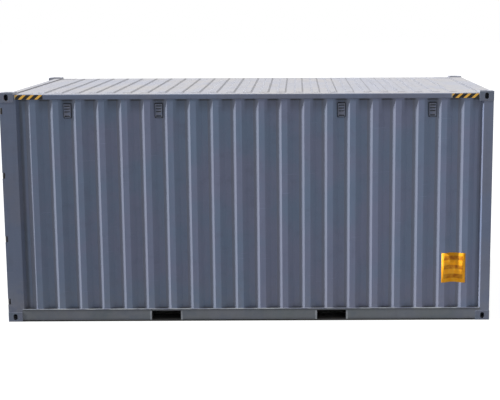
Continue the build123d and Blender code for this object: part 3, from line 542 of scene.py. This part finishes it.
def hinge_steel():
    """Dark coated forgings, greasy and rust-tinted in patches; their darkness is also painted shade in the
    hinge notches.
    """
    f = Finish("hinge_steel", 0.55, specular=0.4)
    grease = f.noise(22.0, 5.0, 0.65)
    # Dark tone partly stands in for shade in the hinge notches
    tone = f.blend(f.between(grease, 0.42, 0.70), FORGED_AND_SHADE, scaled(FRAME_GREY, 0.5))
    rust = f.between(f.noise(36.0, 5.0, 0.7), 0.60, 0.70, 0.0, 0.5)
    f.colour(f.blend(rust, tone, scaled(RUST, 0.7)))
    f.roughness(grease, 0.35, 0.75)
    f.bumps((f.noise(130.0, 3.0, 0.55), 0.2, 0.0015))
    return f.material


def door_rubber():
    f = Finish("door_rubber", 0.75)
    dust = f.noise(12.0, 6.0, 0.65)
    f.colour(f.blend(f.between(dust, 0.45, 0.75, 0.0, 0.35), RUBBER, RUBBER_DUSTY))
    f.roughness(dust, 0.6, 0.9)
    f.bumps((f.noise(220.0, 3.0, 0.5), 0.2, 0.001))
    return f.material


def vent_plastic():
    """Grey mouldings, paler on their edges, with painted shade in the grooves and on everything set back
    from their front.
    """
    f = Finish("vent_plastic", 0.6)
    dust = f.noise(20.0, 5.0, 0.6)
    tone = f.blend(f.between(dust, 0.4, 0.7), scaled(FRAME_GREY, 0.95), FRAME_BLUE)
    tone = f.blend(f.product(f.edges(0.004), 0.5), tone, WALL_PALE)
    # Painted shade in the grooves and on all parts set back from the front
    groove = f.between(f.away("Y"), *VENT_GROOVE, 0.92, 0.0)
    f.colour(f.blend(groove, tone, SOOT_AND_SHADE))
    f.roughness(dust, 0.5, 0.7)
    f.bumps((f.noise(300.0, 2.0, 0.5), 0.15, 0.001))
    return f.material


def plywood():
    """Worn marine plywood: grain along the container, oil stains and wheel marks."""
    f = Finish("plywood", 0.6)
    grain = f.noise(2.0, 8.0, 0.65, stretch=(1.2, 26.0, 26.0))
    tone = f.blend(f.between(grain, 0.35, 0.65), PLY_DARK, PLY_LIGHT)
    pores = f.noise(6.0, 4.0, 0.5, stretch=(4.0, 160.0, 160.0))
    tone = f.blend(f.between(pores, 0.58, 0.72, 0.0, 0.5), tone, PLY_PORES)
    stains = f.noise(1.7, 5.0, 0.6)
    tone = f.blend(f.between(stains, 0.55, 0.72, 0.0, 0.65), tone, OIL)
    marks = f.noise(1.0, 3.0, 0.5, stretch=(0.6, 9.0, 1.0))
    f.colour(f.blend(f.between(marks, 0.60, 0.70, 0.0, 0.4), tone, WHEEL_MARKS))
    f.roughness(stains, 0.45, 0.75)
    f.bumps((grain, 0.2, 0.002), (pores, 0.15, 0.001))
    return f.material


def underframe_coat():
    f = Finish("underframe_coat", 0.7)
    drips = f.noise(14.0, 5.0, 0.6)
    f.colour(f.blend(f.between(drips, 0.45, 0.75, 0.0, 0.5), UNDERSEAL, UNDERSEAL_DUSTY))
    f.roughness(drips, 0.45, 0.85)
    f.bumps((drips, 0.3, 0.004), (f.noise(150.0, 3.0, 0.5), 0.15, 0.001))
    return f.material


def hazard_tape(name, start, first_black):
    """Slanting black and yellow stripes, scuffed, and worn pale before the first black one."""
    f = Finish(name, 0.45)
    lean = f.product(f.maths("SUBTRACT", f.coordinate("Z"), TAPE_MIDDLE), TAPE_LEAN)
    along = f.maths("SUBTRACT", f.coordinate("X"), lean)
    turns = f.product(f.maths("SUBTRACT", along, first_black), 1.0 / TAPE_PITCH)
    band = f.maths("GREATER_THAN", f.maths("FRACT", turns), TAPE_BLACK_SHARE)
    tone = f.blend(band, TAPE_BLACK, TAPE_YELLOW)
    wear = f.noise(24.0, 6.0, 0.7)
    tone = f.blend(f.between(wear, 0.58, 0.72, 0.0, 0.25), tone, TAPE_WORN)
    rubbed = f.between(f.coordinate("X"), start + 0.01, first_black, 1.0, 0.0)
    f.colour(f.blend(f.product(rubbed, f.between(wear, 0.35, 0.55, 0.55, 0.95)), tone, TAPE_WORN))
    f.roughness(wear, 0.35, 0.65)
    f.bumps((f.noise(180.0, 3.0, 0.5), 0.12, 0.0008))
    return f.material


def yellow_vinyl():
    """Weathered yellow vinyl with three plain brown bars across it."""
    f = Finish("yellow_vinyl", 0.5, specular=0.2)
    wear = f.noise(16.0, 6.0, 0.68)
    tone = f.blend(f.between(wear, 0.4, 0.7), SHEET_YELLOW, SHEET_LIGHT)
    middle = (SHEET_START + SHEET_END) / 2
    reach = (SHEET_END - SHEET_START) / 2 - SHEET_BORDER
    distance = f.maths("ABSOLUTE", f.maths("SUBTRACT", f.coordinate("X"), middle))
    field = f.between(distance, reach - 0.004, reach, 1.0, 0.0)
    field = f.product(field, f.between(wear, 0.35, 0.6, 0.75, 0.4))
    span = SHEET_HIGH - SHEET_LOW
    for level, half in SHEET_BARS:
        bar = f.near(f.coordinate("Z"), SHEET_LOW + level * span, 1.2 * half * span)
        tone = f.blend(f.product(bar, field), tone, SHEET_BROWN)
    f.colour(tone)
    f.roughness(wear, 0.4, 0.65)
    f.bumps((wear, 0.1, 0.001))
    return f.material


MATERIALS = {
    "wall_paint": wall_paint(),
    "frame_paint": frame_paint(),
    "roof_paint": roof_paint(),
    "cast_steel": cast_steel(),
    "zinc_steel": zinc_steel(),
    "hinge_steel": hinge_steel(),
    "door_rubber": door_rubber(),
    "vent_plastic": vent_plastic(),
    "plywood": plywood(),
    "underframe_coat": underframe_coat(),
}
RAIL_PAINT = rail_paint()
LIP_PAINT = lip_paint()
BEAD_PAINT = frame_paint("bead_paint", 0.3, scaled(FRAME_BLUE, 0.9), FRAME_GREY)

# Nodes whose sharp edges are rounded, with the width of the round
ROUNDED = {
    "corner_castings_bottom": 0.004,
    "corner_castings_top": 0.004,
    "right_front_post": 0.003,
    "left_front_post": 0.003,
    "right_rear_post": 0.002,
    "left_rear_post": 0.002,
    "right_side_vents": 0.0015,
    "left_side_vents": 0.0015,
    "door_sill": 0.002,
    "door_header": 0.002,
    "front_bottom_rail": 0.002,
    "cam_keepers": 0.0012,
    "right_hinge_blades": 0.0015,
    "left_hinge_blades": 0.0015,
    "right_rod_handles": 0.0012,
    "left_rod_handles": 0.0012,
    "right_handle_catches": 0.001,
    "left_handle_catches": 0.001,
}


def dress_nodes():
    """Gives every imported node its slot's finish or the bottom rails' own, and rounds some nodes' edges."""
    slots = {row["node"]: row["material_slot"] for row in frame["record"]["subparts"]}
    for name, node in frame["nodes"].items():
        material = RAIL_PAINT if name.endswith("bottom_side_rail") else MATERIALS[slots[name]]
        for place in node.material_slots:
            place.link = "OBJECT"
            place.material = material
        if name in ROUNDED:
            weld = node.modifiers.new("weld", "WELD")
            weld.merge_threshold = WELD_REACH
            bevel = node.modifiers.new("round", "BEVEL")
            bevel.width = ROUNDED[name]
            bevel.segments = 2
            bevel.limit_method = "ANGLE"
            bevel.angle_limit = math.radians(ROUND_ANGLE)


def joined(name, mesh, material, body):
    """Turns a mesh under construction into one piece that rides on a body."""
    bmesh.ops.recalc_face_normals(mesh, faces=mesh.faces)
    for face in mesh.faces:
        face.smooth = True
    for edge in mesh.edges:
        edge.smooth = edge.calc_face_angle(0.0) < math.radians(SMOOTH_ANGLE)
    data = bpy.data.meshes.new(name)
    mesh.to_mesh(data)
    mesh.free()
    data.materials.append(material)
    piece = bpy.data.objects.new(name, data)
    bpy.context.scene.collection.objects.link(piece)
    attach(piece, body)
    return piece


def skin(mesh, rings):
    """A closed tube through rings that have as many points each."""
    loops = [[mesh.verts.new(point) for point in ring] for ring in rings]
    count = len(loops[0])
    for one, other in zip(loops, loops[1:]):
        for number in range(count):
            after = (number + 1) % count
            mesh.faces.new((one[number], one[after], other[after], other[number]))
    mesh.faces.new(loops[0][::-1])
    mesh.faces.new(loops[-1])


def stud(mesh, centre, axis, radius, height, sides=6):
    """A bolt head with a broken edge on a surface: six sides for a hexagon, more for a rivet."""
    turn = Vector(axis).to_track_quat("Z", "X")
    rings = []
    for share, level in ((1.0, -0.1), (1.0, 0.65), (0.78, 1.0)):
        ring = []
        for number in range(sides):
            angle = 2 * math.pi * number / sides
            point = (share * radius * math.cos(angle), share * radius * math.sin(angle), level * height)
            ring.append(Vector(centre) + turn @ Vector(point))
        rings.append(ring)
    skin(mesh, rings)


def bolt(mesh, centre, axis, radius, height):
    """A hexagon head on its washer."""
    washer = 0.25 * height
    stud(mesh, centre, axis, 1.45 * radius, washer, 14)
    stud(mesh, Vector(centre) + washer * Vector(axis), axis, radius, height)


def carried(mesh, points, section, rise):
    """A section of (outward, up) points for each of the path's points; outward is to its right."""
    rings = []
    for number, point in enumerate(points):
        before = points[max(number - 1, 0)]
        after = points[min(number + 1, len(points) - 1)]
        side = (after - before).normalized().cross(rise)
        rings.append([point + side * out + rise * lift for out, lift in section(number)])
    skin(mesh, rings)


def sweep(mesh, path, section, up):
    """One section along a path."""
    carried(mesh, [Vector(point) for point in path], lambda number: section, Vector(up))


def bead(mesh, path, up, size=BEAD):
    """A fillet weld in a corner, its size wandering a little along it."""
    points = [Vector(path[0])]
    for one, other in zip(path, path[1:]):
        one, other = Vector(one), Vector(other)
        parts = max(1, round((other - one).length / BEAD_STEP))
        points += [one.lerp(other, number / parts) for number in range(1, parts + 1)]
    wander = random.Random(BEAD_SEED)
    reaches = [size * wander.uniform(0.85, 1.1) for _ in points]

    def section(number):
        return [(reaches[number] * out, reaches[number] * lift) for out, lift in BEAD_OUTLINE]

    carried(mesh, points, section, Vector(up))


def mirrored(path):
    """The same path on the container's other side, run the other way so that outward stays outward."""
    return [(x, -y, z) for x, y, z in reversed(path)]


def bead_pair(mesh, path, up, size=BEAD):
    """A bead on the right side and its twin on the left."""
    bead(mesh, path, up, size)
    bead(mesh, mirrored(path), (up[0], -up[1], up[2]), size)


def patch(mesh, start, end, low, high, face, outward):
    """A thin plate with cut corners, laid on a surface at y = face."""
    cut = TAPE_CORNER
    outline = [(start + cut, low), (end - cut, low), (end, low + cut), (end, high - cut),
               (end - cut, high), (start + cut, high), (start, high - cut), (start, low + cut)]
    front = face + outward * TAPE_THICKNESS
    skin(mesh, [[(x, y, z) for x, z in outline] for y in (face, front)])


def tapes():
    """Hazard tape on both ends of each top side rail."""
    for side, outward in (("right", -1), ("left", 1)):
        low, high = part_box(f"{side}_top_side_rail")
        face = low[1] if outward < 0 else high[1]
        for place, start, end, first_black in TAPES:
            name = f"{side}_{place}_hazard_tape"
            mesh = bmesh.new()
            patch(mesh, start, end, low[2] + TAPE_MARGIN, high[2] - TAPE_MARGIN, face, outward)
            joined(name, mesh, hazard_tape(name, start, first_black), "box")


def ribbed_line(start, end, count, pitch, face, slope, recess, crest):
    """A ribbed sheet's outer line as (along, depth) points, its ribs centred between its ends."""
    rib = face + 2 * slope
    first = (start + end - rib - (count - 1) * pitch) / 2
    points = [(start, recess)]
    for number in range(count):
        foot = first + number * pitch
        points += [(foot, recess), (foot + slope, crest)]
        points += [(foot + slope + face, crest), (foot + rib, recess)]
    return points + [(end, recess)]


def wall_line():
    """The right wall's outer line, as (x, y) points from the doors to the front."""
    low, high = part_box("right_side_wall")
    recess = low[1] + RIB_DEPTH
    return ribbed_line(low[0], high[0], RIB_COUNT, RIB_PITCH, RIB_FACE, RIB_SLOPE, recess, low[1])


def depth_at(line, x):
    """Where the wall's outer face is at x."""
    for (x0, y0), (x1, y1) in zip(line, line[1:]):
        if x0 <= x <= x1:
            return y0 + (y1 - y0) * (x - x0) / (x1 - x0)
    return line[-1][1]


def yellow_sheet():
    """A vinyl sheet pressed on to the wall, following its ribs."""
    line = wall_line()
    inner = [x for x, _ in line if SHEET_START < x < SHEET_END]
    mesh = bmesh.new()
    columns = []
    for x in [SHEET_START] + inner + [SHEET_END]:
        y = depth_at(line, x) - SHEET_PROUD
        columns.append([mesh.verts.new((x, y, z)) for z in (SHEET_LOW, SHEET_HIGH)])
    for one, other in zip(columns, columns[1:]):
        mesh.faces.new((one[0], other[0], other[1], one[1]))
    sheet = joined("yellow_sheet", mesh, yellow_vinyl(), "box")
    solid = sheet.modifiers.new("thickness", "SOLIDIFY")
    solid.thickness = SHEET_THICKNESS
    solid.offset = 0.0


def wall_seams():
    """Beads along the foot and head of both side walls, and up their ends beside the posts."""
    low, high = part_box("right_side_wall")
    rail_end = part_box("right_top_side_rail")[1][0]
    recess = low[1] + RIB_DEPTH
    foot = [(x, y, low[2]) for x, y in wall_line()]
    head = [(x, y, high[2]) for x, y in wall_line() if x < rail_end]
    rear = [(low[0], recess, level) for level in (high[2], low[2])]
    front = [(high[0], recess, level) for level in (low[2], high[2] - BEAD_STOP)]
    mesh = bmesh.new()
    bead_pair(mesh, foot, (0, 0, 1))
    bead_pair(mesh, head[::-1], (0, 0, -1))
    bead_pair(mesh, rear, (1, 0, 0))
    bead_pair(mesh, front, (-1, 0, 0))
    joined("wall_seams", mesh, BEAD_PAINT, "box")


def front_seams():
    """Beads round the front wall, against its rails and posts."""
    low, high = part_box("front_wall")
    line = ribbed_line(low[1], high[1], FRONT_COUNT, FRONT_PITCH, FRONT_FACE, FRONT_SLOPE,
                       high[0] - FRONT_DEPTH, high[0])
    foot = [(x, y, low[2]) for y, x in line]
    head = [(x, y, high[2]) for y, x in line]
    side = [(high[0] - FRONT_DEPTH, low[1], level) for level in (high[2] - BEAD_STOP, low[2])]
    mesh = bmesh.new()
    bead(mesh, foot, (0, 0, 1))
    bead(mesh, head[::-1], (0, 0, -1))
    bead_pair(mesh, side, (0, 1, 0))
    joined("front_seams", mesh, BEAD_PAINT, "box")


def rail_lips():
    """A lip along the top edge of both bottom side rails, pale as rubbed paint and as a painted highlight.
    """
    low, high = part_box("right_bottom_side_rail")
    section = ((-LIP_SUNK, -LIP_HEIGHT), (LIP_PROUD, -0.9 * LIP_HEIGHT), (LIP_PROUD, -0.25 * LIP_HEIGHT),
               (0.5 * LIP_PROUD, 0.15 * LIP_HEIGHT), (-LIP_SUNK, 0.15 * LIP_HEIGHT))
    path = [(low[0] + LIP_REAR_GAP, low[1], high[2]), (high[0] - LIP_FRONT_GAP, low[1], high[2])]
    mesh = bmesh.new()
    sweep(mesh, path, section, (0, 0, 1))
    sweep(mesh, mirrored(path), section, (0, 0, 1))
    joined("rail_lips", mesh, LIP_PAINT, "box")


def roof_seams():
    """Beads between the roof sheet and the top side rails."""
    low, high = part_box("roof_panel")
    mesh = bmesh.new()
    edge = [(low[0], low[1], low[2]), (high[0], low[1], low[2])]
    bead_pair(mesh, edge, (0, 0, 1), ROOF_BEAD)
    joined("roof_seams", mesh, MATERIALS["roof_paint"], "box")


def casting_seams():
    """Beads where posts and rails meet the castings, in the small step between their faces."""
    (west, south, top), (east, _, _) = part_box("corner_castings_top")
    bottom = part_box("corner_castings_bottom")[1][2]
    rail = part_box("right_top_side_rail")
    face = south + CASTING_STEP
    end = east - CASTING_STEP
    mesh = bmesh.new()
    for start, stop in ((west + CASTING_STEP, west + CASTING_LENGTH), (east - CASTING_LENGTH, end)):
        bead_pair(mesh, [(start, face, bottom), (stop, face, bottom)], (0, 0, 1), THIN_BEAD)
        bead_pair(mesh, [(stop, face, top), (start, face, top)], (0, 0, -1), THIN_BEAD)
    inner = south + CASTING_WIDTH
    bead_pair(mesh, [(end, face, bottom), (end, inner, bottom)], (0, 0, 1), THIN_BEAD)
    bead_pair(mesh, [(end, inner, top), (end, face, top)], (0, 0, -1), THIN_BEAD)
    bead_pair(mesh, [(rail[0][0], rail[0][1], level) for level in (rail[1][2], rail[0][2])], (1, 0, 0),
              THIN_BEAD)
    bead_pair(mesh, [(rail[1][0], rail[0][1], level) for level in (rail[0][2], rail[1][2])], (-1, 0, 0),
              THIN_BEAD)
    joined("casting_seams", mesh, BEAD_PAINT, "box")


def guide_bolts(side, sign):
    """Four bolts on each of a leaf's rod guides."""
    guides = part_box(f"{side}_rod_guides")
    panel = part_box(f"{side}_door_panel")
    near, far = sorted(abs(corner[1]) for corner in guides)
    middle = (panel[0][2] + panel[1][2]) / 2
    levels = (guides[0][2] + GUIDE_RISE, middle - 2.5 * LEAF_RIB_PITCH,
              middle + 2.5 * LEAF_RIB_PITCH, guides[1][2] - GUIDE_RISE)
    face = guides[1][0] - GUIDE_STRAP
    mesh = bmesh.new()
    for rod in (near + GUIDE_HALF, far - GUIDE_HALF):
        for level in levels:
            for across in (-GUIDE_BOLT_ACROSS, GUIDE_BOLT_ACROSS):
                for rise in (-GUIDE_BOLT_RISE, GUIDE_BOLT_RISE):
                    centre = (face, sign * (rod + across), level + rise)
                    bolt(mesh, centre, (-1, 0, 0), *GUIDE_BOLT)
    joined(f"{side}_guide_bolts", mesh, MATERIALS["zinc_steel"], f"{side}_door")


def blade_bolts(side, sign):
    """Four bolts through each of a leaf's hinge blades."""
    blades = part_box(f"{side}_hinge_blades")
    lowest = blades[0][2] + BLADE_RISE
    step = (blades[1][2] - BLADE_RISE - lowest) / (BLADE_COUNT - 1)
    face = blades[1][0] - BLADE_PLATE
    mesh = bmesh.new()
    for number in range(BLADE_COUNT):
        for across in BLADE_BOLTS_Y:
            for rise in (-BLADE_BOLT_RISE, BLADE_BOLT_RISE):
                centre = (face, sign * across, lowest + number * step + rise)
                bolt(mesh, centre, (-1, 0, 0), *BLADE_BOLT)
    joined(f"{side}_blade_bolts", mesh, MATERIALS["zinc_steel"], f"{side}_door")


def vent_centres():
    """The ventilators' middles along X: two near the doors and two near the front."""
    low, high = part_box("right_side_vents")
    first, last = low[0] + VENT_HALF, high[0] - VENT_HALF
    gap = VENT_RIBS * RIB_PITCH
    return (first, first + gap, last - gap, last)


def vent_rivets():
    """Four rivets on every ventilator."""
    mesh = bmesh.new()
    for side, sign in (("right", -1), ("left", 1)):
        low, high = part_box(f"{side}_side_vents")
        face = low[1] if sign < 0 else high[1]
        for centre in vent_centres():
            for across in (-VENT_RIVET_ACROSS, VENT_RIVET_ACROSS):
                for level in (low[2] + VENT_RIVET_LOW, high[2] - VENT_RIVET_HIGH):
                    place = (centre + across, face, level)
                    stud(mesh, place, (0, sign, 0), *VENT_RIVET, VENT_RIVET_SIDES)
    joined("vent_rivets", mesh, MATERIALS["zinc_steel"], "box")


def vent_seals_and_shade():
    """Dark sealant round the foot of every ventilator, which also stands in for the shade round it."""
    low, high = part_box("right_side_vents")
    depth = high[1] - SEAL_RISE
    mesh = bmesh.new()
    for centre in vent_centres():
        west, east = centre - VENT_HALF, centre + VENT_HALF
        upper_west, upper_east = (west, depth, high[2]), (east, depth, high[2])
        lower_west, lower_east = (west, depth, low[2]), (east, depth, low[2])
        # Sealant that also stands in for painted shade round the ventilator
        bead_pair(mesh, [upper_west, lower_west, lower_east, upper_east], (0, -1, 0), SEAL)
        bead_pair(mesh, [upper_east, upper_west], (0, -1, 0), SEAL)
    joined("vent_seals_and_shade", mesh, MATERIALS["door_rubber"], "box")


def member_lines():
    """Where the cross members carry the floor, along X."""
    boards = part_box("floor_boards")
    outer, inner = POCKET_CENTRE + POCKET_HALF, POCKET_CENTRE - POCKET_HALF
    lines = [-outer - MEMBER_FLANGE / 2, -inner + MEMBER_FLANGE / 2, inner - MEMBER_FLANGE / 2,
             outer + MEMBER_FLANGE / 2]
    bays = ((boards[0][0], -outer, -1), (-inner, inner, 1), (outer, boards[1][0], 1))
    for start, end, side in bays:
        gaps = round((end - start) / MEMBER_PITCH)
        shift = start + side * MEMBER_FLANGE / 2
        lines += [shift + (end - start) * number / gaps for number in range(1, gaps)]
    return lines


def floor_screws():
    """Screw heads in the floor boards, a row over each cross member."""
    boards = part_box("floor_boards")
    half = int(boards[1][1] / SCREW_STEP - 0.3)
    mesh = bmesh.new()
    for line in member_lines():
        for place in range(-half, half + 1):
            centre = (line, (place + 0.5) * SCREW_STEP, boards[1][2])
            stud(mesh, centre, (0, 0, 1), *FLOOR_SCREW, FLOOR_SCREW_SIDES)
    joined("floor_screws", mesh, MATERIALS["zinc_steel"], "box")


def sun(name, power, spread, turn, height):
    """A far lamp: turn is measured from the doors' side, -X, towards the left side, +Y."""
    lamp = bpy.data.lights.new(name, "SUN")
    lamp.energy = power
    lamp.angle = math.radians(spread)
    holder = bpy.data.objects.new(name, lamp)
    bpy.context.scene.collection.objects.link(holder)
    level = math.cos(math.radians(height))
    side = math.radians(turn)
    source = Vector((-math.cos(side) * level, math.sin(side) * level, math.sin(math.radians(height))))
    holder.rotation_mode = "QUATERNION"
    holder.rotation_quaternion = source.to_track_quat("Z", "Y")
    holder.location = 10.0 * source


def studio_world():
    """White to the camera and in reflections, an even soft light otherwise."""
    world = bpy.data.worlds.new("studio")
    bpy.context.scene.world = world
    world.use_nodes = True
    wiring = Wiring(world.node_tree)
    rays = [wiring.add("ShaderNodeLightPath", output=f"Is {kind} Ray") for kind in
            ("Camera", "Glossy", "Transmission")]
    seen = wiring.maths("MAXIMUM", wiring.maths("MAXIMUM", rays[0], rays[1]), rays[2])
    strength = wiring.add("ShaderNodeMapRange", {"Value": seen, "To Min": SURROUND, "To Max": 1.0})
    background = world.node_tree.nodes["Background"]
    background.inputs["Color"].default_value = (1.0, 1.0, 1.0, 1.0)
    world.node_tree.links.new(strength, background.inputs["Strength"])


def floor_material():
    """Matt and pale; in the open it also glows for the camera, under the container it doesn't."""
    material = bpy.data.materials.new("floor")
    material.use_nodes = True
    wiring = Wiring(material.node_tree)
    matt = material.node_tree.nodes["Principled BSDF"]
    matt.inputs["Base Color"].default_value = (FLOOR_SHADE, FLOOR_SHADE, FLOOR_SHADE, 1.0)
    matt.inputs["Roughness"].default_value = 0.9
    place = wiring.add("ShaderNodeTexCoord", output="Object")
    beyond = []
    for axis, reach in (("X", cad_box[1][0]), ("Y", cad_box[1][1])):
        along = wiring.add("ShaderNodeSeparateXYZ", {"Vector": place}, axis)
        beyond.append(wiring.maths("GREATER_THAN", wiring.maths("ABSOLUTE", along), reach))
    open_floor = wiring.maths("MAXIMUM", *beyond)
    seen = wiring.add("ShaderNodeLightPath", output="Is Camera Ray")
    share = wiring.maths("MULTIPLY", wiring.maths("MULTIPLY", seen, open_floor), FLOOR_WHITE)
    glow = wiring.add("ShaderNodeEmission", {"Strength": FLOOR_GLOW})
    mixed = wiring.add("ShaderNodeMixShader", {0: share, 1: matt.outputs[0], 2: glow})
    material.node_tree.links.new(mixed, material.node_tree.nodes["Material Output"].inputs["Surface"])
    return material


def floor():
    mesh = bmesh.new()
    bmesh.ops.create_grid(mesh, x_segments=1, y_segments=1, size=FLOOR_REACH)
    data = bpy.data.meshes.new("floor")
    mesh.to_mesh(data)
    mesh.free()
    data.materials.append(floor_material())
    ground = bpy.data.objects.new("floor", data)
    ground.location.z = -FLOOR_DROP
    bpy.context.scene.collection.objects.link(ground)


def camera():
    lens = bpy.data.cameras.new("camera")
    lens.lens = CAMERA_LENS
    lens.shift_x, lens.shift_y = CAMERA_SHIFT
    holder = bpy.data.objects.new("camera", lens)
    holder.location = CAMERA_PLACE
    holder.rotation_euler = Euler([math.radians(angle) for angle in CAMERA_TURN], "XYZ")
    bpy.context.scene.collection.objects.link(holder)
    bpy.context.scene.camera = holder


camera()
studio_world()
sun("key", KEY_POWER, KEY_SPREAD, -KEY_OFF_WALL, KEY_HEIGHT)
sun("fill", FILL_POWER, FILL_SPREAD, FILL_TURN, FILL_HEIGHT)
floor()
dress_nodes()
tapes()
yellow_sheet()
wall_seams()
front_seams()
rail_lips()
roof_seams()
casting_seams()
vent_rivets()
vent_seals_and_shade()
floor_screws()
for side, sign in (("right", -1), ("left", 1)):
    guide_bolts(side, sign)
    blade_bolts(side, sign)
bpy.context.scene.view_settings.view_transform = "Standard"
